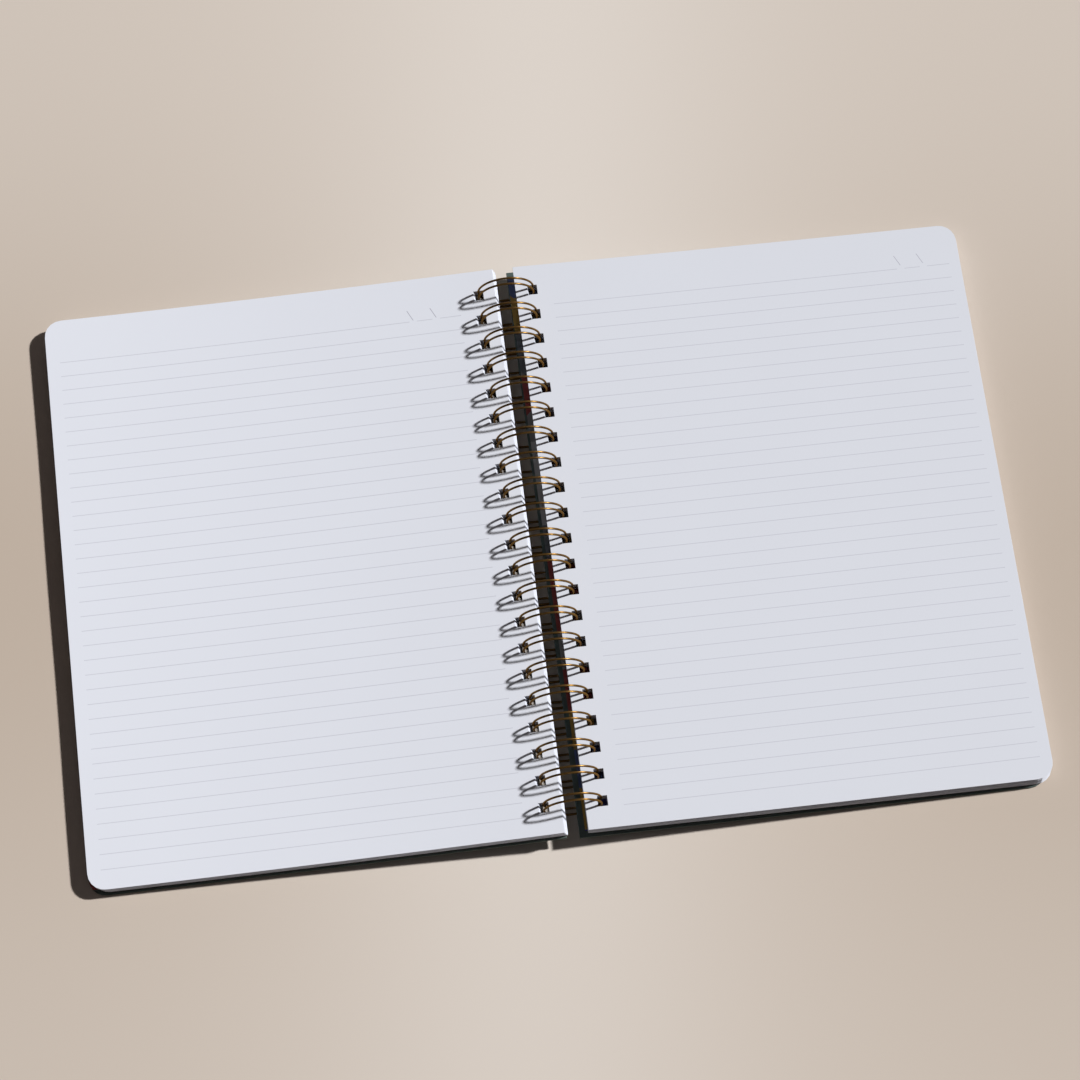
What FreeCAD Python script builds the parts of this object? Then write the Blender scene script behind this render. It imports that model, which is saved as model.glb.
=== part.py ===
"""Open notebook bound with a twin-loop wire, lying open on a table.

Millimetres. X runs across the two halves, Y along the spine towards the head of
the page, Z up from the table. The origin is on the table, under the middle of
the wire's loop axis.
"""
import FreeCAD
import Part
import Sketcher
import math
import os
import re

Vector = FreeCAD.Vector

SIZES = (
    ("page_width", 215.9),
    ("page_height", 279.4),
    ("corner_radius", 8.0),
    ("left_stack", 5.5),
    ("right_stack", 5.8),
    ("left_sag", 1.6),
    ("right_sag", 0.5),
    ("left_fan", 1.6),
    ("right_fan", 0.6),
    ("cover_board", 0.9),
    ("cover_overhang", 1.2),
    ("front_air", 0.4),
    ("back_air", 2.9),
    ("rest_gap", 0.3),
    ("axis_drop", 0.2),
    ("loop_pitch", 12.7),
    ("end_margin", 8.0),
    ("ring_radius", 13.2),
    ("wire_width", 1.0),
    ("pair_spacing", 2.9),
    ("link_bend", 1.2),
    ("base_angle", 293.0),
    ("tip_angle", 276.0),
    ("hole_across", 4.8),
    ("hole_along", 4.9),
    ("hole_margin", 8.0),
    ("left_play", 0.0),
    ("right_play", 0.0),
    ("front_play", 1.0),
    ("back_play", 1.0),
)

# as many loops as fit along the page with this margin left free at each end
LOOP_COUNT = "(floor((page_height - 2 * end_margin) / loop_pitch) + 1)"
LOOP_ROW = "(loop_pitch * (%s - 1))" % LOOP_COUNT


def make_sheet(doc):
    """Put the driving dimensions in a spreadsheet, one named cell each."""
    sheet = doc.addObject("Spreadsheet::Sheet", "sizes")
    for row, (alias, value) in enumerate(SIZES, start=1):
        sheet.set("A%d" % row, alias)
        sheet.set("B%d" % row, str(value))
        sheet.setAlias("B%d" % row, alias)
    doc.recompute()
    return sheet


def cell(text):
    """Turn the plain names of a formula into references to the sheet's cells."""
    names = "|".join(name for name, _ in SIZES)
    return re.sub(r"\b(%s)\b" % names, r"sizes.\1", text)


def value_of(sheet, text):
    """Work out a formula of cell names with the sheet's present numbers."""
    probe = sheet.Document.addObject("Part::Box", "probe")
    probe.setExpression("Placement.Base.x", cell(text))
    probe.recompute()
    number = probe.Placement.Base.x
    sheet.Document.removeObject(probe.Name)
    return number


def origin_feature(body, role):
    """Return the body's own origin plane or axis of this role."""
    return next(item for item in body.Origin.OriginFeatures if item.Role == role)


def new_sketch(body, name, role):
    sketch = body.newObject("Sketcher::SketchObject", name)
    sketch.AttachmentSupport = [(origin_feature(body, role), "")]
    sketch.MapMode = "FlatFace"
    return sketch


def pin_point(sketch, sheet, geometry, end, across, up):
    """Hold one end of a line or arc at two bound distances from the origin."""
    for kind, text in (("DistanceX", across), ("DistanceY", up)):
        number = value_of(sheet, text)
        row = sketch.addConstraint(Sketcher.Constraint(kind, -1, 1, geometry, end, number))
        sketch.setExpression("Constraints[%d]" % row, cell(text))


def arc_through(start, finish, sag):
    """An arc that hangs below its chord by the sag, from left to right."""
    middle = (start + finish) / 2.0 - Vector(0, sag, 0)
    return Part.Arc(start, middle, finish)


class Sheetlike:
    """A board or a stack of leaves: its two ends, sag, thickness and fan as formulas.

    side is -1 for the left half and 1 for the right half. The ends are where the
    top face starts at the spine and stops at the outer edge.
    """

    def __init__(self, name, side, spine_across, spine_up, width, outer_up, sag, thickness, fan, height):
        self.name = name
        self.side = side
        self.spine_across = "%d * (%s)" % (side, spine_across)
        self.outer_across = "%d * (%s + %s)" % (side, spine_across, width)
        self.hole_across = "%d * (%s + hole_margin)" % (side, spine_across)
        self.spine_up = spine_up
        self.outer_up = outer_up
        self.sag = sag
        self.thickness = thickness
        self.fan = fan
        self.height = height


def draw_profile(body, sheet, piece):
    """Draw the cross-section: two like arcs, the lower one shifted down and by the fan."""
    sketch = new_sketch(body, piece.name + "_profile", "XZ_Plane")
    tops = (
        (piece.spine_across, piece.spine_up),
        (piece.outer_across, piece.outer_up),
    )
    bottoms = tuple(
        ("%s + %s" % (across, piece.fan), "%s - %s" % (up, piece.thickness)) for across, up in tops
    )
    if piece.side < 0:
        tops = tops[::-1]
        bottoms = bottoms[::-1]
    sag = value_of(sheet, piece.sag)
    corners = []
    for rows in (tops, bottoms):
        ends = [Vector(value_of(sheet, across), value_of(sheet, up), 0) for across, up in rows]
        corners.append(ends)
        sketch.addGeometry(arc_through(ends[0], ends[1], sag))
    for index in (0, 1):
        sketch.addGeometry(Part.LineSegment(corners[0][index], corners[1][index]))
    # an arc of this kind runs from its left end, point 1, to its right end, point 2
    for geometry, rows in enumerate((tops, bottoms)):
        for end, (across, up) in enumerate(rows, start=1):
            pin_point(sketch, sheet, geometry, end, across, up)
    for index in (0, 1):
        line = 2 + index
        sketch.addConstraint(Sketcher.Constraint("Coincident", line, 1, 0, index + 1))
        sketch.addConstraint(Sketcher.Constraint("Coincident", line, 2, 1, index + 1))
    chord_across = "(%s - (%s))" % (tops[1][0], tops[0][0])
    chord_up = "(%s - (%s))" % (tops[1][1], tops[0][1])
    chord_square = "(%s ^ 2 + %s ^ 2)" % (chord_across, chord_up)
    radius = "%s / (8 * %s) + %s / 2" % (chord_square, piece.sag, piece.sag)
    row = sketch.addConstraint(Sketcher.Constraint("Radius", 0, sketch.Geometry[0].Radius))
    sketch.setExpression("Constraints[%d]" % row, cell(radius))
    sketch.addConstraint(Sketcher.Constraint("Equal", 0, 1))
    return sketch


def round_outer_corners(body, sheet, piece, pad):
    """Round the two free corners of the outer edge."""
    edge_names = []
    half = value_of(sheet, piece.height) / 2.0
    outer = value_of(sheet, piece.outer_across)
    reach = value_of(sheet, "corner_radius")
    for number, edge in enumerate(pad.Shape.Edges, start=1):
        first, last = (vertex.Point for vertex in edge.Vertexes)
        upright = abs(first.y - last.y) < half
        at_outer = max(abs(first.x - outer), abs(last.x - outer)) < reach
        if upright and at_outer:
            edge_names.append("Edge%d" % number)
    fillet = body.newObject("PartDesign::Fillet", piece.name + "_corners")
    fillet.Base = (pad, edge_names)
    fillet.setExpression("Radius", cell("corner_radius"))
    return fillet


def punch_holes(body, sheet, piece):
    """Punch one square hole and repeat it down the spine edge."""
    sketch = new_sketch(body, piece.name + "_hole", "XY_Plane")
    first = "%s / 2" % LOOP_ROW
    sides = (
        "%s - hole_across / 2" % piece.hole_across,
        "%s + hole_across / 2" % piece.hole_across,
    )
    ends = ("%s - hole_along / 2" % first, "%s + hole_along / 2" % first)
    corners = ((0, 0), (1, 0), (1, 1), (0, 1))
    points = [Vector(value_of(sheet, sides[i]), value_of(sheet, ends[j]), 0) for i, j in corners]
    for index in range(len(corners)):
        sketch.addGeometry(Part.LineSegment(points[index], points[(index + 1) % len(corners)]))
    for index in range(len(corners)):
        following = (index + 1) % len(corners)
        sketch.addConstraint(Sketcher.Constraint("Coincident", index, 2, following, 1))
    for index, kind in enumerate(("Horizontal", "Vertical", "Horizontal", "Vertical")):
        sketch.addConstraint(Sketcher.Constraint(kind, index))
    pin_point(sketch, sheet, 0, 1, sides[0], ends[0])
    pin_point(sketch, sheet, 2, 1, sides[1], ends[1])
    pocket = body.newObject("PartDesign::Pocket", piece.name + "_punch")
    pocket.Profile = sketch
    pocket.Type = "ThroughAll"
    pocket.Reversed = True
    sheet.Document.recompute()
    row_of_holes = body.newObject("PartDesign::LinearPattern", piece.name + "_row")
    row_of_holes.Originals = [pocket]
    row_of_holes.Direction = (origin_feature(body, "Y_Axis"), [""])
    row_of_holes.Reversed = True
    row_of_holes.setExpression("Length", cell(LOOP_ROW))
    row_of_holes.setExpression("Occurrences", cell(LOOP_COUNT))
    body.Tip = row_of_holes
    sheet.Document.recompute()


def make_sheetlike(doc, sheet, piece):
    """Build a board or a stack: profile pad, rounded corners, row of holes."""
    body = doc.addObject("PartDesign::Body", piece.name)
    body.Label = piece.name
    profile = draw_profile(body, sheet, piece)
    pad = body.newObject("PartDesign::Pad", piece.name + "_pad")
    pad.Profile = profile
    pad.Midplane = True
    pad.setExpression("Length", cell(piece.height))
    doc.recompute()
    round_outer_corners(body, sheet, piece, pad)
    doc.recompute()
    punch_holes(body, sheet, piece)
    return body


def loop_point(sheet, degrees, along):
    """A point of the loop's centre line at this angle, and the direction of travel there."""
    angle = math.radians(degrees)
    radius = sheet.ring_radius
    axis_up = radius + sheet.wire_width / 2.0
    point = Vector(radius * math.cos(angle), along, axis_up + radius * math.sin(angle))
    forward = Vector(-math.sin(angle), 0, math.cos(angle))
    return point, forward


def quarter_bend(start, heading, turn_to, radius):
    """An arc of a quarter turn from one heading to another, and its far end."""
    finish = start + heading * radius + turn_to * radius
    diagonal = math.sqrt(0.5)
    middle = start + heading * (radius * diagonal) + turn_to * (radius * (1.0 - diagonal))
    return Part.Arc(start, middle, finish).toShape(), finish


def wire_path(sheet):
    """The bent wire's centre line: up one leg, round the tip, back, along a link, and on."""
    tail = Vector(0, -1, 0)
    half_pair = sheet.pair_spacing / 2.0
    bend = sheet.link_bend
    link = sheet.loop_pitch - sheet.pair_spacing - 2.0 * bend
    tip_angle = sheet.tip_angle + 360.0
    mid_angle = (sheet.base_angle + tip_angle) / 2.0
    edges = []
    count = int(value_of(sheet, LOOP_COUNT))
    for index in range(count):
        centre = sheet.loop_pitch * ((count - 1) / 2.0 - index)
        near = centre + half_pair
        far = centre - half_pair
        base, base_forward = loop_point(sheet, sheet.base_angle, near)
        crown, _ = loop_point(sheet, mid_angle, near)
        tip, tip_forward = loop_point(sheet, tip_angle, near)
        edges.append(Part.Arc(base, crown, tip).toShape())
        far_tip = tip + tail * sheet.pair_spacing
        around = tip + tail * half_pair + tip_forward * half_pair
        edges.append(Part.Arc(tip, around, far_tip).toShape())
        far_crown, _ = loop_point(sheet, mid_angle, far)
        far_base, _ = loop_point(sheet, sheet.base_angle, far)
        edges.append(Part.Arc(far_tip, far_crown, far_base).toShape())
        if index < count - 1:
            first_bend, link_start = quarter_bend(far_base, -base_forward, tail, bend)
            link_end = link_start + tail * link
            last_bend, _ = quarter_bend(link_end, tail, base_forward, bend)
            edges.append(first_bend)
            edges.append(Part.LineSegment(link_start, link_end).toShape())
            edges.append(last_bend)
    return Part.Wire(edges)


def make_binding_wire(doc, sheet):
    """Sweep the wire's round section along its bent path, as one continuous wire."""
    path = doc.addObject("Part::Feature", "binding_wire_path")
    path.Shape = wire_path(sheet)
    section = doc.addObject("Part::Circle", "binding_wire_section")
    section.setExpression("Radius", cell("wire_width / 2"))
    start, forward = loop_point(sheet, sheet.base_angle, path.Shape.Edges[0].Vertexes[0].Point.y)
    turn = FreeCAD.Rotation(Vector(0, 0, 1), forward)
    section.Placement = FreeCAD.Placement(start, turn)
    sweep = doc.addObject("Part::Sweep", "binding_wire")
    sweep.Label = "binding_wire"
    sweep.Sections = [section]
    sweep.Spine = (path, ["Edge%d" % number for number in range(1, len(path.Shape.Edges) + 1)])
    sweep.Solid = True
    sweep.Frenet = False
    doc.recompute()
    return sweep


def sheetlike_pieces():
    """The two stacks of leaves and the two cover boards, from the loop outwards."""
    axis_up = "(ring_radius + wire_width / 2)"
    stack_spine_up = "%s - axis_drop" % axis_up
    pieces = []
    for half, side, board_name in (("left", -1, "front"), ("right", 1, "back")):
        stack = "%s_stack" % half
        air = "%s_air" % board_name
        fan = "%s_fan" % half
        stack_outer_up = "cover_board + rest_gap + %s" % stack
        pieces.append(
            Sheetlike(
                name="%s_pages" % half,
                side=side,
                spine_across="ring_radius + %s_play - hole_margin" % half,
                spine_up=stack_spine_up,
                width="page_width",
                outer_up=stack_outer_up,
                sag="%s_sag" % half,
                thickness=stack,
                fan=fan,
                height="page_height",
            )
        )
        board_below_axis = "(axis_drop + %s + %s + cover_board)" % (stack, air)
        ring_there = "sqrt(ring_radius ^ 2 - %s ^ 2)" % board_below_axis
        pieces.append(
            Sheetlike(
                name="%s_cover" % board_name,
                side=side,
                spine_across="%s + %s_play - hole_margin" % (ring_there, board_name),
                spine_up="%s - %s - %s" % (stack_spine_up, stack, air),
                width="page_width + cover_overhang",
                outer_up="cover_board",
                sag="%s_sag" % half,
                thickness="cover_board",
                fan="0",
                height="page_height + 2 * cover_overhang",
            )
        )
    return pieces


def check_document(doc, parts):
    """Stop if an object failed or a piece is not one sound solid."""
    for item in doc.Objects:
        if {"Invalid", "Error"} & set(item.State):
            raise RuntimeError("%s failed: %s" % (item.Name, item.State))
    for part in parts:
        shape = part.Shape
        if shape.isNull() or not shape.isValid() or len(shape.Solids) != 1:
            raise RuntimeError("%s is not one valid solid" % part.Label)


def expected_volume(sheet, piece):
    """The volume that a board's or a stack's sizes give: outline times thickness."""
    height, thickness, fan, width, rise = (
        value_of(sheet, text)
        for text in (
            piece.height,
            piece.thickness,
            piece.fan,
            "%s - (%s)" % (piece.outer_across, piece.spine_across),
            "%s - (%s)" % (piece.outer_up, piece.spine_up),
        )
    )
    holes = value_of(sheet, LOOP_COUNT) * sheet.hole_across * sheet.hole_along
    corners = 2 * (1 - math.pi / 4) * sheet.corner_radius ** 2
    section = abs(width * thickness + fan * rise)
    return section * height - (holes + corners) * thickness


def report_volume(part, expected):
    """Print a piece's volume and size beside the volume its sizes give."""
    box = part.Shape.optimalBoundingBox(False)
    spread = " x ".join("%.1f" % length for length in (box.XLength, box.YLength, box.ZLength))
    print("%-13s %s, volume %.1f, expected %.1f" % (part.Label, spread, part.Shape.Volume, expected))


def main():
    doc = FreeCAD.newDocument("open_spiral_notebook")
    sheet = make_sheet(doc)
    wire = make_binding_wire(doc, sheet)
    pieces = sheetlike_pieces()
    parts = [wire] + [make_sheetlike(doc, sheet, piece) for piece in pieces]
    doc.recompute()
    check_document(doc, parts)
    section_area = math.pi * (sheet.wire_width / 2) ** 2
    report_volume(wire, section_area * doc.getObject("binding_wire_path").Shape.Length)
    for part, piece in zip(parts[1:], pieces):
        report_volume(part, expected_volume(sheet, piece))
    os.makedirs("parts", exist_ok=True)
    for part in parts:
        part.Shape.exportStep("parts/%s.step" % part.Label)


main()
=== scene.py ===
"""Looks of the open notebook bound with a twin-loop wire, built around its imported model.

Metres. X runs across the two halves, Y along the spine towards the head of the page,
Z up from the table.
"""
import math

import bpy
from mathutils import Matrix, Vector


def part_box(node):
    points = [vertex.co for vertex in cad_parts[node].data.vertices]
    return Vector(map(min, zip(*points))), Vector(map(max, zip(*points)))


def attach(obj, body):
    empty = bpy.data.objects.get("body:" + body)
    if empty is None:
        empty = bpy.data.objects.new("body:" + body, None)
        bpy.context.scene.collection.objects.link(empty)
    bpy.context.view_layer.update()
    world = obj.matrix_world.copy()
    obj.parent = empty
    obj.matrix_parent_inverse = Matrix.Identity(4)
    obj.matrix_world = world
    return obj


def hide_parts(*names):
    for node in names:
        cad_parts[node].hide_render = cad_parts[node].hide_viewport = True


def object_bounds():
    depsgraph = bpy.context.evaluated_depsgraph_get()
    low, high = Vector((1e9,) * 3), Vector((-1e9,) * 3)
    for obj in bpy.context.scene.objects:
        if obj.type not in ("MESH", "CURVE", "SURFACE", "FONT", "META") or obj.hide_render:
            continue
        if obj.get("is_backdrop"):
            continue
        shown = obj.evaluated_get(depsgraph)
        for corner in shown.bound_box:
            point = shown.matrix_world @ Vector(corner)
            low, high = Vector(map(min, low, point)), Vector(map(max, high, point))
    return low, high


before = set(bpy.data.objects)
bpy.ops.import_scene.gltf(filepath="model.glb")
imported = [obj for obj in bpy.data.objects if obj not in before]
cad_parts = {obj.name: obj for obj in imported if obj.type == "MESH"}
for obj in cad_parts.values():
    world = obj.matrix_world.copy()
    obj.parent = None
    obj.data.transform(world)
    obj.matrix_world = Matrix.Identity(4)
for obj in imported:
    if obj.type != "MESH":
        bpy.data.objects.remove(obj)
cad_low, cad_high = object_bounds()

bpy.context.scene.view_settings.view_transform = "Standard"

# Cover boards: one stiff board under each half, laminated dark green outside and printed
# inside. Each is punched along the spine, cut round at its two free corners and has
# slightly crushed edges.
MM = 0.001
LOOP_COUNT = 21
LOOP_PITCH = 12.7 * MM
HOLE_ACROSS = 4.8 * MM
HOLE_ALONG = 4.9 * MM
HOLE_MARGIN = 8.0 * MM
CORNER_RADIUS = 8.0 * MM
CORNER_STEPS = 5
SHEET_MAP = "sheet"
SHARP_EDGE = math.radians(30)
BOARD_THICKNESS = 0.9 * MM
BOARD_EDGE_ROUND = 0.18 * MM
LEFT_SAG = 1.6 * MM
RIGHT_SAG = 0.5 * MM
BOARD_COLUMNS = 12


def hanging_arc(spine, outer, sag):
    """Height of a face at any place across: an arc that hangs below its chord by the sag."""
    chord = outer - spine
    radius = chord.length ** 2 / (8 * sag) + sag / 2
    upwards = Vector((-chord.y, chord.x)).normalized()
    if upwards.y < 0:
        upwards.negate()
    centre = (spine + outer) / 2 + upwards * (radius - sag)
    return lambda across: centre.y - math.sqrt(radius ** 2 - (across - centre.x) ** 2)


def sheet_columns(width, height, steps):
    """Distances from the spine edge, each with how far the sheet reaches along the spine."""
    near_hole = HOLE_MARGIN - HOLE_ACROSS / 2
    far_hole = HOLE_MARGIN + HOLE_ACROSS / 2
    straight = width - CORNER_RADIUS
    columns = [(across, height / 2) for across in (0, near_hole, far_hole)]
    for index in range(1, steps + 1):
        columns.append((far_hole + (straight - far_hole) * index / steps, height / 2))
    for index in range(1, CORNER_STEPS + 1):
        angle = math.pi / 2 * index / CORNER_STEPS
        cut_back = CORNER_RADIUS * (1 - math.cos(angle))
        columns.append((straight + CORNER_RADIUS * math.sin(angle), height / 2 - cut_back))
    return columns


def punched_sheet(name, side, spine, outer, sag, height, thickness, steps, lift=None):
    """A thin sheet with a row of square holes by the spine and two round outer corners.

    side is -1 for the left half and 1 for the right. spine and outer are the (across, up)
    ends of its top face. lift adds a little height by the place on the sheet.
    """
    up_at = hanging_arc(spine, outer, sag)
    rows = [-height / 2]
    for index in range(LOOP_COUNT):
        centre = LOOP_PITCH * (index - (LOOP_COUNT - 1) / 2)
        rows += [centre - HOLE_ALONG / 2, centre + HOLE_ALONG / 2]
    rows.append(height / 2)
    last = len(rows) - 1
    coarse = [0] + list(range(1, last, 2)) + [last - 1, last]
    hole_columns = (1, 2)
    points, places, grid = [], [], []
    for number, (across, reach) in enumerate(sheet_columns(abs(outer.x - spine.x), height, steps)):
        column = {}
        for row in range(last + 1) if number in hole_columns else coarse:
            along = min(max(rows[row], -reach), reach)
            x = spine.x + side * across
            z = up_at(x) + (lift(across, along) if lift else 0)
            column[row] = len(points)
            points.append((x, along, z))
            places.append((across, height / 2 - along))
        grid.append(column)
    tops = []
    for number in range(len(grid) - 1):
        near, far = grid[number], grid[number + 1]
        stops = list(range(last + 1)) if number == 1 else coarse
        for low, high in zip(stops, stops[1:]):
            is_hole = number == 1 and low % 2 == 1 and high < last
            if is_hole:
                continue
            face = [far[row] for row in sorted(far) if low <= row <= high]
            face += [near[row] for row in sorted(near, reverse=True) if low <= row <= high]
            tops.append(face if side > 0 else face[::-1])
    count = len(points)
    bottoms = [[corner + count for corner in reversed(face)] for face in tops]
    edges = {(a, b) for face in tops for a, b in zip(face, face[1:] + face[:1])}
    walls = [(b, a, a + count, b + count) for a, b in sorted(edges) if (b, a) not in edges]
    points += [(x, y, z - thickness) for x, y, z in points]
    mesh = bpy.data.meshes.new(name)
    mesh.from_pydata(points, [], tops + bottoms + walls)
    uv_map = mesh.uv_layers.new(name=SHEET_MAP)
    for loop in mesh.loops:
        uv_map.data[loop.index].uv = places[loop.vertex_index % count]
    mesh.shade_smooth()
    mesh.set_sharp_from_angle(angle=SHARP_EDGE)
    piece = bpy.data.objects.new(name, mesh)
    bpy.context.scene.collection.objects.link(piece)
    return piece, len(tops)


def new_material(name, roughness):
    """A material with one Principled shader of plain roughness, and its node tree."""
    material = bpy.data.materials.new(name)
    material.use_nodes = True
    shader = material.node_tree.nodes["Principled BSDF"]
    shader.inputs["Roughness"].default_value = roughness
    return material, material.node_tree, shader


def node(tree, kind, settings=None, **inputs):
    """A new node with its settings and input values, or links where an input is an output."""
    made = tree.nodes.new(kind)
    for key, value in (settings or {}).items():
        setattr(made, key, value)
    for key, value in inputs.items():
        socket = made.inputs[int(key[1:])] if key[1:].isdigit() else made.inputs[key.replace("_", " ")]
        if isinstance(value, bpy.types.NodeSocket):
            tree.links.new(value, socket)
        else:
            socket.default_value = value
    return made


def calculate(tree, operation, *values):
    """The result of one Math node on numbers or other nodes' outputs."""
    inputs = {"i%d" % index: value for index, value in enumerate(values)}
    return node(tree, "ShaderNodeMath", {"operation": operation}, **inputs).outputs[0]


def fibre_group():
    """Paper and board fibre: a soft mottle, and the height of fine fibres."""
    tree = bpy.data.node_groups.new("paper_fibre", "ShaderNodeTree")
    for name in ("Mottle Size", "Fibre Size"):
        tree.interface.new_socket(name, in_out="INPUT", socket_type="NodeSocketFloat")
    for name in ("Mottle", "Fibre Height"):
        tree.interface.new_socket(name, in_out="OUTPUT", socket_type="NodeSocketFloat")
    inputs = tree.nodes.new("NodeGroupInput").outputs
    outputs = tree.nodes.new("NodeGroupOutput").inputs
    place = tree.nodes.new("ShaderNodeTexCoord").outputs["Object"]
    for name, size, detail in (("Mottle", "Mottle Size", 3.0), ("Fibre Height", "Fibre Size", 6.0)):
        frequency = calculate(tree, "DIVIDE", 1.0, inputs[size])
        noise = node(tree, "ShaderNodeTexNoise", Vector=place, Scale=frequency, Detail=detail)
        tree.links.new(noise.outputs["Fac"], outputs[name])
    return tree


fibre = fibre_group()
BOARD_MOTTLE = 30 * MM


def add_fibre(tree, mottle_size, fibre_size):
    """Place the fibre group in a material with its own sizes."""
    placed = node(tree, "ShaderNodeGroup", {"node_tree": fibre})
    placed.inputs["Mottle Size"].default_value = mottle_size
    placed.inputs["Fibre Size"].default_value = fibre_size
    return placed.outputs


def tinted(tree, fac, dark, light):
    """A colour between two, by a mask."""
    mix = node(tree, "ShaderNodeMix", {"data_type": "RGBA"})
    tree.links.new(fac, mix.inputs["Factor"])
    mix.inputs["A"].default_value = (*dark, 1)
    mix.inputs["B"].default_value = (*light, 1)
    return mix.outputs["Result"]


def bump(tree, shader, height, distance, strength):
    """Let a height stand out from the surface."""
    made = node(tree, "ShaderNodeBump", Height=height, Distance=distance, Strength=strength)
    tree.links.new(made.outputs["Normal"], shader.inputs["Normal"])


LAMINATE_DARK = (0.040, 0.075, 0.060)
LAMINATE_LIGHT = (0.052, 0.094, 0.075)
LAMINATE_ROUGHNESS = 0.62
LAMINATE_GRAIN = 0.5 * MM
LAMINATE_RELIEF = 0.03 * MM
LAMINATE_RELIEF_STRENGTH = 0.35


def green_laminate():
    """The outside and the rim: dark green print under a matt film with a fine grain."""
    material, tree, shader = new_material("green_laminate", LAMINATE_ROUGHNESS)
    grain = add_fibre(tree, BOARD_MOTTLE, LAMINATE_GRAIN)
    colour = tinted(tree, grain["Mottle"], LAMINATE_DARK, LAMINATE_LIGHT)
    tree.links.new(colour, shader.inputs["Base Color"])
    bump(tree, shader, grain["Fibre Height"], LAMINATE_RELIEF, LAMINATE_RELIEF_STRENGTH)
    return material


BLOCK_COLOURS = (
    (0.42, 0.41, 0.39),
    (0.42, 0.26, 0.055),
    (0.060, 0.055, 0.24),
    (0.30, 0.05, 0.045),
    (0.15, 0.16, 0.17),
    (0.50, 0.48, 0.45),
    (0.09, 0.12, 0.26),
    (0.24, 0.23, 0.22),
)
BORDER_COLOUR = (0.060, 0.085, 0.075)
BLOCK_SIZE = 19 * MM
BLOCK_UNEVENNESS = 0.55
PRINT_BORDER = 3.0 * MM
SPINE_BORDER = 0.3 * MM
PRINT_SLANT = 0.009
PRINT_ROUGHNESS = 0.58
PRINT_GRAIN = 0.6 * MM
PRINT_RELIEF = 0.02 * MM
PRINT_RELIEF_STRENGTH = 0.3
cover_low, cover_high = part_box("front_cover")
BOARD_HEIGHT = cover_high.y - cover_low.y


def printed_blocks():
    """The inside: plain angular blocks of colour in a green border, under the same film.

    The field of blocks is set a little askew, so the border by the spine widens to the foot.
    """
    material, tree, shader = new_material("printed_blocks", PRINT_ROUGHNESS)
    place = node(tree, "ShaderNodeUVMap", {"uv_map": SHEET_MAP}).outputs["UV"]
    axes = node(tree, "ShaderNodeSeparateXYZ", Vector=place).outputs
    from_foot = calculate(tree, "SUBTRACT", BOARD_HEIGHT, axes["Y"])
    inward = calculate(tree, "GREATER_THAN", calculate(tree, "MINIMUM", axes["Y"], from_foot), PRINT_BORDER)
    border = calculate(tree, "MULTIPLY_ADD", axes["Y"], PRINT_SLANT, SPINE_BORDER)
    past_spine = calculate(tree, "GREATER_THAN", axes["X"], border)
    inside = calculate(tree, "MULTIPLY", inward, past_spine)
    cells = node(
        tree, "ShaderNodeTexVoronoi", {"distance": "CHEBYCHEV", "voronoi_dimensions": "2D"},
        Vector=place, Scale=1 / BLOCK_SIZE, Randomness=BLOCK_UNEVENNESS,
    )
    pick = node(tree, "ShaderNodeSeparateColor", Color=cells.outputs["Color"]).outputs["Red"]
    ramp = node(tree, "ShaderNodeValToRGB", Fac=pick)
    ramp.color_ramp.interpolation = "CONSTANT"
    for index, colour in enumerate(BLOCK_COLOURS):
        stops = ramp.color_ramp.elements
        stop = stops[index] if index < 2 else stops.new(1.0)
        stop.position = index / len(BLOCK_COLOURS)
        stop.color = (*colour, 1)
    framed = node(tree, "ShaderNodeMix", {"data_type": "RGBA"})
    tree.links.new(inside, framed.inputs["Factor"])
    framed.inputs["A"].default_value = (*BORDER_COLOUR, 1)
    tree.links.new(ramp.outputs["Color"], framed.inputs["B"])
    tree.links.new(framed.outputs["Result"], shader.inputs["Base Color"])
    grain = add_fibre(tree, BOARD_MOTTLE, PRINT_GRAIN)
    bump(tree, shader, grain["Fibre Height"], PRINT_RELIEF, PRINT_RELIEF_STRENGTH)
    return material


laminate = green_laminate()
blocks = printed_blocks()

for half, side, sag, body in (("front", -1, LEFT_SAG, "front_board"), ("back", 1, RIGHT_SAG, "back_board")):
    cad_node = half + "_cover"
    low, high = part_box(cad_node)
    spine_x, outer_x = (low.x, high.x) if side > 0 else (high.x, low.x)
    board, top_faces = punched_sheet(
        half + "_board",
        side,
        Vector((spine_x, high.z)),
        Vector((outer_x, low.z + BOARD_THICKNESS)),
        sag,
        high.y - low.y,
        BOARD_THICKNESS,
        BOARD_COLUMNS,
    )
    board.data.materials.append(laminate)
    board.data.materials.append(blocks)
    for face in board.data.polygons[:top_faces]:
        face.material_index = 1
    rounding = board.modifiers.new("crushed_edge", "BEVEL")
    rounding.width = BOARD_EDGE_ROUND
    rounding.segments = 2
    rounding.limit_method = "ANGLE"
    rounding.harden_normals = True
    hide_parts(cad_node)
    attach(board, body)

# Leaves: about a hundred sheets of smooth, cool white paper, ruled on both sides, stacked
# on each half. The sheet that shows is a piece of its own, and so is the last one of
# each stack; the sheets between them are one repeated leaf.
LEAF_PITCH = 0.1 * MM
PAPER_THICKNESS = 0.088 * MM
LEAF_COLUMNS = 8
OPEN_LEAF_COLUMNS = 24
LEAF_DRIFT = 0.14 * MM
LEAF_WANDER = math.radians(0.03)
STACKS = (
    # half, side, stack, fan, sag, turn of the open leaf, body
    ("left", -1, 5.5 * MM, 1.6 * MM, LEFT_SAG, 0.0, "left_leaves"),
    ("right", 1, 5.8 * MM, 0.6 * MM, RIGHT_SAG, math.radians(0.2), "right_leaves"),
)
WAVE_RISE = 0.22 * MM
WAVE_LENGTH = 118 * MM
WAVE_PHASE = 0.8

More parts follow.
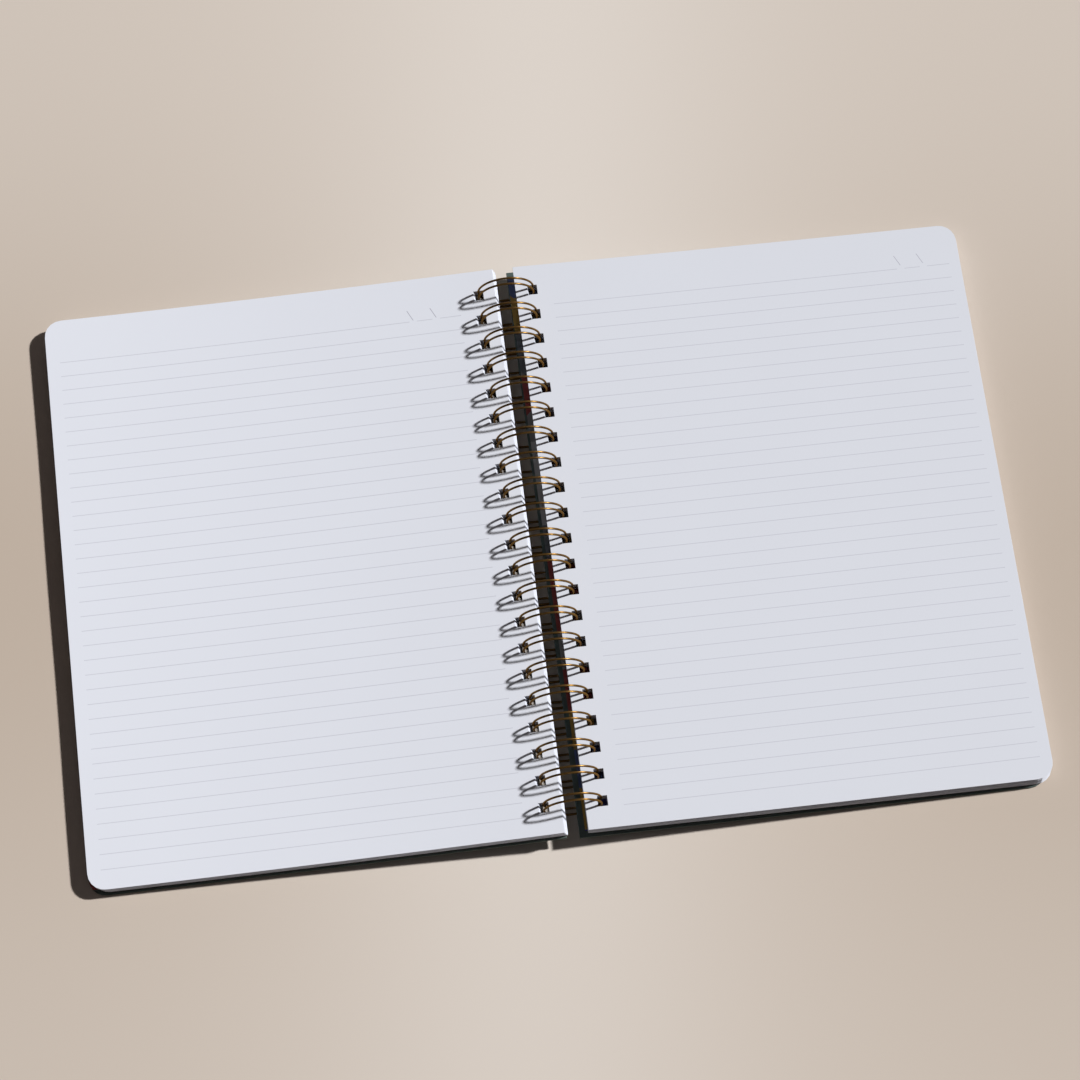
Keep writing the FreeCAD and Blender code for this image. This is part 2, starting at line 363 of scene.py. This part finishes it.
FIRST_RULE = 21.4 * MM
RULE_OFFSET = 0.3 * MM
RULE_PITCH = 7.1 * MM
RULES = 36
RULE_WIDTH = 0.30 * MM
PRINT_SOFTNESS = 0.35
CLEAN_END = 0.05
SPINE_MARGIN = 17.4 * MM
LEFT_OUTER_MARGIN = 6.2 * MM
RIGHT_OUTER_MARGIN = 5.3 * MM
SHEET_WIDTH = 215.9 * MM
DATE_STROKES = 2
DATE_STROKE_HEIGHT = 5.2 * MM
DATE_STROKE_LEAN = 2.5 * MM
DATE_STROKE_WIDTH = 0.34 * MM
DATE_STROKE_DOWN = 17.6 * MM
DATE_STROKE_OFFSET = 0.9 * MM
LEFT_STROKE_INSET = 13.2 * MM
RIGHT_STROKE_INSET = 14.0 * MM
DATE_STROKE_SPACING = 11.1 * MM
HEADER_GAP = 3.6 * MM
LEFT_RULE_DEPTH = 0.50
RIGHT_RULE_DEPTH = 0.56
RIGHT_PRINT_TILT = 0.0035
PAPER_DARK = (0.775, 0.797, 0.868)
PAPER_LIGHT = (0.793, 0.817, 0.888)
# painted shade: the right sheet's paper is darkened for the lesser light falling on that half
RIGHT_SHEET_PAINTED_SHADE = 0.87
INK_COLOUR = (0.42, 0.42, 0.49)
PAPER_ROUGHNESS = 0.62
PAPER_MOTTLE = 45 * MM
PAPER_GRAIN = 0.35 * MM
PAPER_RELIEF = 0.01 * MM
PAPER_RELIEF_STRENGTH = 0.25
FIRST_SEED = 11


def leaf_wave(across, along):
    """The open sheet is never quite flat: it lifts a little towards its free edge."""
    free = (across / SHEET_WIDTH) ** 2
    return WAVE_RISE * free * (0.5 + 0.5 * math.sin(2 * math.pi * along / WAVE_LENGTH + WAVE_PHASE))


def band(tree, value, centre, width, softness=PRINT_SOFTNESS):
    """A mask that is 1 within half the width of a centre, with soft sides."""
    away = calculate(tree, "ABSOLUTE", calculate(tree, "SUBTRACT", value, centre))
    edge = calculate(tree, "SUBTRACT", width / 2 * (1 + softness), away)
    scaled = calculate(tree, "DIVIDE", edge, width * softness)
    return calculate(tree, "MINIMUM", calculate(tree, "MAXIMUM", scaled, 0.0), 1.0)


def ruling_group():
    """The print on a sheet: even rules, the top one broken by two slanted date strokes."""
    tree = bpy.data.node_groups.new("ruled_print", "ShaderNodeTree")
    for name in (
        "First Rule", "Last Rule End", "Stroke Place", "Stroke Down", "Stroke Lean", "Rule Depth", "Tilt",
    ):
        tree.interface.new_socket(name, in_out="INPUT", socket_type="NodeSocketFloat")
    tree.interface.new_socket("Ink", in_out="OUTPUT", socket_type="NodeSocketFloat")
    inputs = tree.nodes.new("NodeGroupInput").outputs
    outputs = tree.nodes.new("NodeGroupOutput").inputs
    place = node(tree, "ShaderNodeUVMap", {"uv_map": SHEET_MAP}).outputs["UV"]
    axes = node(tree, "ShaderNodeSeparateXYZ", Vector=place).outputs
    across = axes["X"]
    down = calculate(tree, "ADD", axes["Y"], calculate(tree, "MULTIPLY", across, inputs["Tilt"]))
    steps = calculate(tree, "DIVIDE", calculate(tree, "SUBTRACT", down, inputs["First Rule"]), RULE_PITCH)
    nearest = calculate(tree, "ROUND", steps)
    nearest = calculate(tree, "MINIMUM", calculate(tree, "MAXIMUM", nearest, 0.0), RULES - 1.0)
    off_rule = calculate(tree, "MULTIPLY", calculate(tree, "SUBTRACT", steps, nearest), RULE_PITCH)
    rule = band(tree, off_rule, 0.0, RULE_WIDTH)
    after_start = calculate(tree, "GREATER_THAN", across, SPINE_MARGIN)
    before_end = calculate(tree, "LESS_THAN", across, inputs["Last Rule End"])
    rule = calculate(tree, "MULTIPLY", rule, calculate(tree, "MULTIPLY", after_start, before_end))
    is_header = calculate(tree, "LESS_THAN", nearest, 0.5)
    below_middle = calculate(tree, "SUBTRACT", down, inputs["Stroke Down"])
    share = calculate(tree, "DIVIDE", below_middle, DATE_STROKE_HEIGHT / 2)
    slant = calculate(tree, "MULTIPLY", share, inputs["Stroke Lean"])
    ink = calculate(tree, "MULTIPLY", rule, inputs["Rule Depth"])
    for index in range(DATE_STROKES):
        centre = calculate(tree, "ADD", inputs["Stroke Place"], DATE_STROKE_SPACING * index)
        foot = calculate(tree, "ADD", centre, inputs["Stroke Lean"])
        gap = calculate(tree, "MULTIPLY", band(tree, across, foot, HEADER_GAP, CLEAN_END), is_header)
        ink = calculate(tree, "MULTIPLY", ink, calculate(tree, "SUBTRACT", 1.0, gap))
    for index in range(DATE_STROKES):
        centre = calculate(tree, "ADD", inputs["Stroke Place"], DATE_STROKE_SPACING * index)
        line = band(tree, across, calculate(tree, "ADD", centre, slant), DATE_STROKE_WIDTH)
        inside = band(tree, down, inputs["Stroke Down"], DATE_STROKE_HEIGHT, CLEAN_END)
        ink = calculate(tree, "MAXIMUM", ink, calculate(tree, "MULTIPLY", line, inside))
    tree.links.new(ink, outputs["Ink"])
    return tree


ruling = ruling_group()


def ruled_paper(half, side):
    """Smooth uncoated paper with its print. The date strokes end near the sheet's right side."""
    material, tree, shader = new_material("ruled_paper_" + half, PAPER_ROUGHNESS)
    grain = add_fibre(tree, PAPER_MOTTLE, PAPER_GRAIN)
    # painted shade: the right half's paper colour is darkened to stand in for its lesser light
    shade = RIGHT_SHEET_PAINTED_SHADE if side > 0 else 1.0
    dark = [value * shade for value in PAPER_DARK]
    light = [value * shade for value in PAPER_LIGHT]
    paper = tinted(tree, grain["Mottle"], dark, light)
    printed = node(tree, "ShaderNodeGroup", {"node_tree": ruling})
    if side > 0:
        rule_end = SHEET_WIDTH - RIGHT_OUTER_MARGIN
        first_stroke = rule_end - RIGHT_STROKE_INSET - DATE_STROKE_SPACING
    else:
        rule_end = SHEET_WIDTH - LEFT_OUTER_MARGIN
        first_stroke = SPINE_MARGIN + LEFT_STROKE_INSET
    printed.inputs["First Rule"].default_value = FIRST_RULE - side * RULE_OFFSET
    printed.inputs["Last Rule End"].default_value = rule_end
    printed.inputs["Stroke Place"].default_value = first_stroke
    printed.inputs["Stroke Down"].default_value = DATE_STROKE_DOWN - DATE_STROKE_OFFSET * side
    printed.inputs["Stroke Lean"].default_value = side * DATE_STROKE_LEAN / 2
    printed.inputs["Rule Depth"].default_value = RIGHT_RULE_DEPTH if side > 0 else LEFT_RULE_DEPTH
    printed.inputs["Tilt"].default_value = RIGHT_PRINT_TILT if side > 0 else 0
    mix = node(tree, "ShaderNodeMix", {"data_type": "RGBA"})
    tree.links.new(printed.outputs["Ink"], mix.inputs["Factor"])
    tree.links.new(paper, mix.inputs["A"])
    mix.inputs["B"].default_value = (*INK_COLOUR, 1)
    tree.links.new(mix.outputs["Result"], shader.inputs["Base Color"])
    bump(tree, shader, grain["Fibre Height"], PAPER_RELIEF, PAPER_RELIEF_STRENGTH)
    return material


def leaf_stack_tree():
    """One leaf repeated down the stack, each a little off its place, fanned as the pile is."""
    tree = bpy.data.node_groups.new("stack_of_leaves", "GeometryNodeTree")
    for name, kind in (
        ("Leaf", "Geometry"), ("Leaves", "Int"), ("Step", "Vector"), ("Drift", "Float"),
        ("Wander", "Float"), ("First Turn", "Float"), ("Seed", "Int"), ("Paper", "Material"),
    ):
        tree.interface.new_socket(name, in_out="INPUT", socket_type="NodeSocket" + kind)
    tree.interface.new_socket("Stack", in_out="OUTPUT", socket_type="NodeSocketGeometry")
    inputs = tree.nodes.new("NodeGroupInput").outputs
    outputs = tree.nodes.new("NodeGroupOutput").inputs
    line = node(tree, "GeometryNodeMeshLine", Count=inputs["Leaves"], Start_Location=inputs["Step"])
    tree.links.new(inputs["Step"], line.inputs["Offset"])
    minus = calculate(tree, "MULTIPLY", inputs["Drift"], -1.0)
    low = node(tree, "ShaderNodeCombineXYZ", X=minus, Y=minus).outputs[0]
    high = node(tree, "ShaderNodeCombineXYZ", X=inputs["Drift"], Y=inputs["Drift"]).outputs[0]
    drift = node(
        tree, "FunctionNodeRandomValue", {"data_type": "FLOAT_VECTOR"},
        i0=low, i1=high, Seed=inputs["Seed"],
    ).outputs[0]
    spread = node(tree, "GeometryNodeSetPosition", Geometry=line.outputs["Mesh"], Offset=drift)
    piled = node(
        tree, "GeometryNodeInstanceOnPoints",
        Points=spread.outputs["Geometry"], Instance=inputs["Leaf"],
    )
    index = tree.nodes.new("GeometryNodeInputIndex").outputs[0]
    depth = calculate(tree, "DIVIDE", index, inputs["Leaves"])
    fade = calculate(tree, "SUBTRACT", 1.0, depth)
    turn = calculate(tree, "MULTIPLY", inputs["First Turn"], fade)
    swing = node(
        tree, "FunctionNodeRandomValue", {"data_type": "FLOAT"},
        i2=calculate(tree, "MULTIPLY", inputs["Wander"], -1.0), i3=inputs["Wander"],
        Seed=calculate(tree, "ADD", inputs["Seed"], 1.0),
    ).outputs[1]
    angle = node(tree, "ShaderNodeCombineXYZ", Z=calculate(tree, "ADD", turn, swing)).outputs[0]
    turned = node(
        tree, "GeometryNodeRotateInstances",
        Instances=piled.outputs["Instances"], Rotation=angle,
    )
    turned.inputs["Local Space"].default_value = False
    whole = node(tree, "GeometryNodeRealizeInstances", Geometry=turned.outputs["Instances"])
    papered = node(
        tree, "GeometryNodeSetMaterial", Geometry=whole.outputs["Geometry"], Material=inputs["Paper"],
    )
    tree.links.new(papered.outputs["Geometry"], outputs["Stack"])
    return tree


def applied(piece, tree, values):
    """Run a node tree on a piece with its named inputs set, and keep the plain mesh."""
    modifier = piece.modifiers.new(tree.name, "NODES")
    modifier.node_group = tree
    for item in tree.interface.items_tree:
        if item.in_out == "INPUT" and item.name in values:
            modifier[item.identifier] = values[item.name]
    evaluated = piece.evaluated_get(bpy.context.evaluated_depsgraph_get())
    mesh = bpy.data.meshes.new_from_object(evaluated)
    mesh.name = piece.name
    piece.modifiers.remove(modifier)
    plain = bpy.data.objects.new(piece.name + "_whole", mesh)
    bpy.context.scene.collection.objects.link(plain)
    name = piece.name
    bpy.data.objects.remove(piece)
    plain.name = name
    return plain


stack_tree = leaf_stack_tree()

for number, (half, side, stack, fan, sag, turn, body) in enumerate(STACKS):
    cad_node = half + "_pages"
    low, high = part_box(cad_node)
    spine_x, outer_x = (low.x, high.x - fan) if side > 0 else (high.x - fan, low.x)
    spine = Vector((spine_x, high.z))
    outer = Vector((outer_x, low.z + stack))
    leaves = round(stack / LEAF_PITCH)
    step = Vector((fan, 0, -stack)) / leaves
    height = high.y - low.y
    paper = ruled_paper(half, side)

    open_leaf, _ = punched_sheet(
        half + "_open_leaf", side, spine, outer, sag, height, PAPER_THICKNESS, OPEN_LEAF_COLUMNS, leaf_wave,
    )
    open_leaf.data.materials.append(paper)
    open_leaf.data.transform(Matrix.Rotation(turn, 4, "Z"))

    pile, _ = punched_sheet(
        half + "_pile_of_leaves", side, spine, outer, sag, height, PAPER_THICKNESS, LEAF_COLUMNS,
    )
    pile = applied(pile, stack_tree, {
        "Leaves": leaves - 2, "Step": step, "Drift": LEAF_DRIFT, "Wander": LEAF_WANDER,
        "First Turn": turn, "Seed": FIRST_SEED + number, "Paper": paper,
    })

    last_leaf, _ = punched_sheet(
        half + "_last_leaf", side, spine, outer, sag, height, PAPER_THICKNESS, OPEN_LEAF_COLUMNS,
    )
    last_leaf.data.materials.append(paper)
    last_leaf.data.transform(Matrix.Translation(step * (leaves - 1)))

    for piece in (open_leaf, pile, last_leaf):
        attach(piece, body)
    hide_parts(cad_node)

# Binding wire: one steel wire bent into 21 double loops, lacquered antique bronze. It is
# threaded through the punched holes, and then the loops are pressed round until their
# closed tips meet the straight links between them.
WIRE_WIDTH = 1.0 * MM
PAIR_SPACING = 2.9 * MM
LINK_BEND = 1.2 * MM
BASE_ANGLE = math.radians(293.0)
TIP_ANGLE = math.radians(276.0) + 2 * math.pi
LEG_STEPS = 64
TIP_STEPS = 10
BEND_STEPS = 6
WIRE_SIDES = 14
wire_low, wire_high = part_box("binding_wire")
RING_RADIUS = (wire_high.z - wire_low.z - WIRE_WIDTH) / 2
AXIS_UP = (wire_high.z + wire_low.z) / 2
BRONZE_DARK = (0.135, 0.076, 0.024)
BRONZE_LIGHT = (0.240, 0.136, 0.042)
BRONZE_EDGE_TINT = (0.55, 0.40, 0.28)
BRONZE_ROUGHNESS = 0.29
BRONZE_METALLIC = 0.8
BRONZE_GLOSS = 0.2
BRONZE_PATCH = 6 * MM
SCRATCH_SIZE = 0.5 * MM
SCRATCH_DEPTH = 0.006 * MM
SCRATCH_STRENGTH = 0.12


def on_loop(angle, along):
    """A point of a loop's centre line."""
    return Vector((RING_RADIUS * math.cos(angle), along, AXIS_UP + RING_RADIUS * math.sin(angle)))


def round_the_corner(start, heading, turn_to, radius, sweep, steps):
    """Points of an arc that leaves its start along a heading and turns to another."""
    for index in range(1, steps + 1):
        angle = sweep * index / steps
        yield start + heading * (radius * math.sin(angle)) + turn_to * (radius * (1 - math.cos(angle)))


def wire_points():
    """The wire's centre line from its first leg to its last, loop by loop."""
    tail = Vector((0, -1, 0))
    base_heading = Vector((-math.sin(BASE_ANGLE), 0, math.cos(BASE_ANGLE)))
    tip_heading = Vector((-math.sin(TIP_ANGLE), 0, math.cos(TIP_ANGLE)))
    angles = [BASE_ANGLE + (TIP_ANGLE - BASE_ANGLE) * index / LEG_STEPS for index in range(LEG_STEPS + 1)]
    points = []
    for number in range(LOOP_COUNT):
        middle = LOOP_PITCH * ((LOOP_COUNT - 1) / 2 - number)
        near, far = middle + PAIR_SPACING / 2, middle - PAIR_SPACING / 2
        points += [on_loop(angle, near) for angle in (angles if number == 0 else angles[1:])]
        points += round_the_corner(points[-1], tip_heading, tail, PAIR_SPACING / 2, math.pi, TIP_STEPS)
        points += [on_loop(angle, far) for angle in reversed(angles[:-1])]
        if number < LOOP_COUNT - 1:
            link = LOOP_PITCH - PAIR_SPACING - 2 * LINK_BEND
            quarter = math.pi / 2
            points += round_the_corner(points[-1], -base_heading, tail, LINK_BEND, quarter, BEND_STEPS)
            points.append(points[-1] + tail * link)
            points += round_the_corner(points[-1], tail, base_heading, LINK_BEND, quarter, BEND_STEPS)
    return points


def drawn_wire_tree():
    """A round wire drawn along a path, with its ends cut square."""
    tree = bpy.data.node_groups.new("drawn_wire", "GeometryNodeTree")
    for name, kind in (("Path", "Geometry"), ("Width", "Float"), ("Sides", "Int"), ("Metal", "Material")):
        tree.interface.new_socket(name, in_out="INPUT", socket_type="NodeSocket" + kind)
    tree.interface.new_socket("Wire", in_out="OUTPUT", socket_type="NodeSocketGeometry")
    inputs = tree.nodes.new("NodeGroupInput").outputs
    outputs = tree.nodes.new("NodeGroupOutput").inputs
    half_width = calculate(tree, "DIVIDE", inputs["Width"], 2.0)
    section = node(tree, "GeometryNodeCurvePrimitiveCircle", Resolution=inputs["Sides"])
    tree.links.new(half_width, section.inputs["Radius"])
    line = node(tree, "GeometryNodeMeshToCurve", Mesh=inputs["Path"])
    tube = node(tree, "GeometryNodeCurveToMesh", Curve=line.outputs["Curve"])
    tree.links.new(section.outputs["Curve"], tube.inputs["Profile Curve"])
    tube.inputs["Fill Caps"].default_value = True
    smooth = node(tree, "GeometryNodeSetShadeSmooth", Geometry=tube.outputs["Mesh"])
    whole = node(tree, "GeometryNodeRealizeInstances", Geometry=smooth.outputs["Geometry"])
    lacquered = node(
        tree, "GeometryNodeSetMaterial", Geometry=whole.outputs["Geometry"], Material=inputs["Metal"],
    )
    tree.links.new(lacquered.outputs["Geometry"], outputs["Wire"])
    return tree


def bronze_lacquer():
    """Dark bronze lacquer over steel: brown with worn, more coppery stretches, and glossy."""
    material, tree, shader = new_material("bronze_lacquer", BRONZE_ROUGHNESS)
    place = tree.nodes.new("ShaderNodeTexCoord").outputs["Object"]
    patches = node(tree, "ShaderNodeTexNoise", Vector=place, Scale=1 / BRONZE_PATCH, Detail=4.0)
    colour = tinted(tree, patches.outputs["Fac"], BRONZE_DARK, BRONZE_LIGHT)
    tree.links.new(colour, shader.inputs["Base Color"])
    shader.inputs["Metallic"].default_value = BRONZE_METALLIC
    shader.inputs["Specular IOR Level"].default_value = BRONZE_GLOSS
    shader.inputs["Specular Tint"].default_value = (*BRONZE_EDGE_TINT, 1)
    scratches = node(tree, "ShaderNodeTexNoise", Vector=place, Scale=1 / SCRATCH_SIZE, Detail=3.0)
    bump(tree, shader, scratches.outputs["Fac"], SCRATCH_DEPTH, SCRATCH_STRENGTH)
    return material


wire_mesh = bpy.data.meshes.new("twin_loop_wire")
centre_line = wire_points()
wire_mesh.from_pydata(centre_line, [(index, index + 1) for index in range(len(centre_line) - 1)], [])
wire = bpy.data.objects.new("twin_loop_wire", wire_mesh)
bpy.context.scene.collection.objects.link(wire)
wire = applied(wire, drawn_wire_tree(), {"Width": WIRE_WIDTH, "Sides": WIRE_SIDES, "Metal": bronze_lacquer()})
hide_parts("binding_wire")
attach(wire, "wire")

# Table: a wide, plain, pale warm grey top under the notebook, with a falloff of light painted
# into its colour: a little paler along the middle than towards the sides.
TABLE_REACH = 4.0
TABLE_PALE = (0.740, 0.674, 0.610)
# painted shade: the darker colour in which the falloff of light is painted on the top
TABLE_PAINTED_SHADE = (0.531, 0.442, 0.363)
TABLE_ROUGHNESS = 0.85
MIDDLE_REACH = 245 * MM
MIDDLE_BEARING = math.radians(7.1)
SIDE_RISE = 0.25
SIDE_FADE = 0.082
SIDE_SHADE_SHARE = 0.575
LEVEL_SHADE_SHARE = 0.645
LEVEL_FADE = 2.0
FOOT_SHADE_SHARE = 0.1
FOOT_GAIN = 0.13
FOOT_FADE = 0.3


def table_top_with_painted_falloff():
    """Matt pale top with a painted falloff of light: darker to both sides, less so beyond head and foot."""
    material, tree, shader = new_material("pale_table", TABLE_ROUGHNESS)
    place = tree.nodes.new("ShaderNodeTexCoord").outputs["Object"]
    turned = node(
        tree, "ShaderNodeVectorRotate", {"rotation_type": "Z_AXIS"}, Vector=place, Angle=MIDDLE_BEARING,
    )
    axes = node(tree, "ShaderNodeSeparateXYZ", Vector=turned.outputs[0]).outputs
    across = calculate(tree, "DIVIDE", axes["X"], MIDDLE_REACH)
    across_squared = calculate(tree, "MULTIPLY", across, across)
    beside = calculate(tree, "DIVIDE", across_squared, calculate(tree, "ADD", across_squared, SIDE_RISE))
    far_fade = calculate(tree, "EXPONENT", calculate(tree, "MULTIPLY", across_squared, -SIDE_FADE))
    beside = calculate(tree, "MULTIPLY", beside, far_fade)
    along = calculate(tree, "DIVIDE", axes["Y"], MIDDLE_REACH)
    along_squared = calculate(tree, "MULTIPLY", along, along)
    share = calculate(tree, "EXPONENT", calculate(tree, "MULTIPLY", along_squared, -LEVEL_FADE))
    share = calculate(tree, "MULTIPLY_ADD", share, LEVEL_SHADE_SHARE, SIDE_SHADE_SHARE)
    foot_fade = calculate(tree, "EXPONENT", calculate(tree, "MULTIPLY", along_squared, -FOOT_FADE))
    headwards = calculate(tree, "MULTIPLY", along, foot_fade)
    towards_foot = calculate(tree, "MULTIPLY_ADD", headwards, -FOOT_GAIN, FOOT_SHADE_SHARE)
    # painted shade: the falloff of light to the sides, head and foot painted into the top's colour
    painted_falloff = calculate(tree, "MULTIPLY_ADD", beside, share, towards_foot)
    colour = tinted(tree, painted_falloff, TABLE_PALE, TABLE_PAINTED_SHADE)
    tree.links.new(colour, shader.inputs["Base Color"])
    return material


table_mesh = bpy.data.meshes.new("table")
table_corners = [
    (x * TABLE_REACH, y * TABLE_REACH, cad_low.z) for x, y in ((-1, -1), (1, -1), (1, 1), (-1, 1))
]
table_mesh.from_pydata(table_corners, [], [(0, 1, 2, 3)])
table = bpy.data.objects.new("table", table_mesh)
bpy.context.scene.collection.objects.link(table)
table.data.materials.append(table_top_with_painted_falloff())
table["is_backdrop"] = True

# Light: one low key lamp from the right, small enough for shadows with clear edges, and a
# weak fill from all round that is stronger from the lamp's side.
KEY_ELEVATION = math.radians(37.7)
KEY_BEARING = math.radians(14.8)
KEY_STRENGTH = 4.55
KEY_SIZE = math.radians(3.2)
FILL_DARK_SIDE = 0.03
FILL_LAMP_SIDE = 0.11
FILL_COLOUR = (1.0, 0.92, 0.95)
BACKDROP_COLOUR = (0.62, 0.56, 0.50)

to_key = Vector((
    math.cos(KEY_ELEVATION) * math.cos(KEY_BEARING),
    math.cos(KEY_ELEVATION) * math.sin(KEY_BEARING),
    math.sin(KEY_ELEVATION),
))
key_lamp = bpy.data.lights.new("key_lamp", "SUN")
key_lamp.energy = KEY_STRENGTH
key_lamp.angle = KEY_SIZE
key = bpy.data.objects.new("key_lamp", key_lamp)
key.rotation_euler = to_key.to_track_quat("Z", "Y").to_euler()
bpy.context.scene.collection.objects.link(key)


def studio_world():
    """Grey surroundings, brighter towards the lamp; the camera sees a pale backdrop."""
    world = bpy.data.worlds.new("studio")
    world.use_nodes = True
    tree = world.node_tree
    surround = tree.nodes["Background"]
    direction = tree.nodes.new("ShaderNodeTexCoord").outputs["Generated"]
    across = node(tree, "ShaderNodeSeparateXYZ", Vector=direction).outputs["X"]
    share = node(tree, "ShaderNodeMapRange", Value=across)
    share.inputs["From Min"].default_value = -1
    share.inputs["To Min"].default_value = FILL_DARK_SIDE
    share.inputs["To Max"].default_value = FILL_LAMP_SIDE
    tree.links.new(share.outputs["Result"], surround.inputs["Strength"])
    surround.inputs["Color"].default_value = (*FILL_COLOUR, 1)
    backdrop = node(tree, "ShaderNodeBackground", Color=(*BACKDROP_COLOUR, 1))
    seen = tree.nodes.new("ShaderNodeLightPath").outputs["Is Camera Ray"]
    choice = node(tree, "ShaderNodeMixShader", Fac=seen)
    tree.links.new(surround.outputs[0], choice.inputs[1])
    tree.links.new(backdrop.outputs[0], choice.inputs[2])
    tree.links.new(choice.outputs[0], tree.nodes["World Output"].inputs["Surface"])
    return world


bpy.context.scene.world = studio_world()

# Camera: high over the table on the reader's side, a long lens, turned a little.
CAMERA_BEARING = math.radians(10.0)
CAMERA_ELEVATION = math.radians(70.89)
CAMERA_ROLL = math.radians(3.126)
CAMERA_DISTANCE = 1495.5 * MM
CAMERA_AIM = Vector((1.66 * MM, 5.11 * MM, 0))
SENSOR = 36.0
PHOTO_PIXELS = 1080
FOCAL_PIXELS = 3176.6
FARTHEST_SEEN = 50

ahead = Vector((math.sin(CAMERA_BEARING), math.cos(CAMERA_BEARING), 0))
forward = ahead * math.cos(CAMERA_ELEVATION) - Vector((0, 0, math.sin(CAMERA_ELEVATION)))
level_right = Vector((math.cos(CAMERA_BEARING), -math.sin(CAMERA_BEARING), 0))
level_up = level_right.cross(forward)
right = level_right * math.cos(CAMERA_ROLL) + level_up * math.sin(CAMERA_ROLL)
up = level_up * math.cos(CAMERA_ROLL) - level_right * math.sin(CAMERA_ROLL)
camera_data = bpy.data.cameras.new("camera")
camera_data.sensor_width = SENSOR
camera_data.lens = SENSOR * FOCAL_PIXELS / PHOTO_PIXELS
camera_data.clip_end = FARTHEST_SEEN
camera = bpy.data.objects.new("camera", camera_data)
bpy.context.scene.collection.objects.link(camera)
camera_turn = Matrix((right, up, -forward)).transposed().to_4x4()
camera.matrix_world = Matrix.Translation(CAMERA_AIM - forward * CAMERA_DISTANCE) @ camera_turn
bpy.context.scene.camera = camera

low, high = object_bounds()
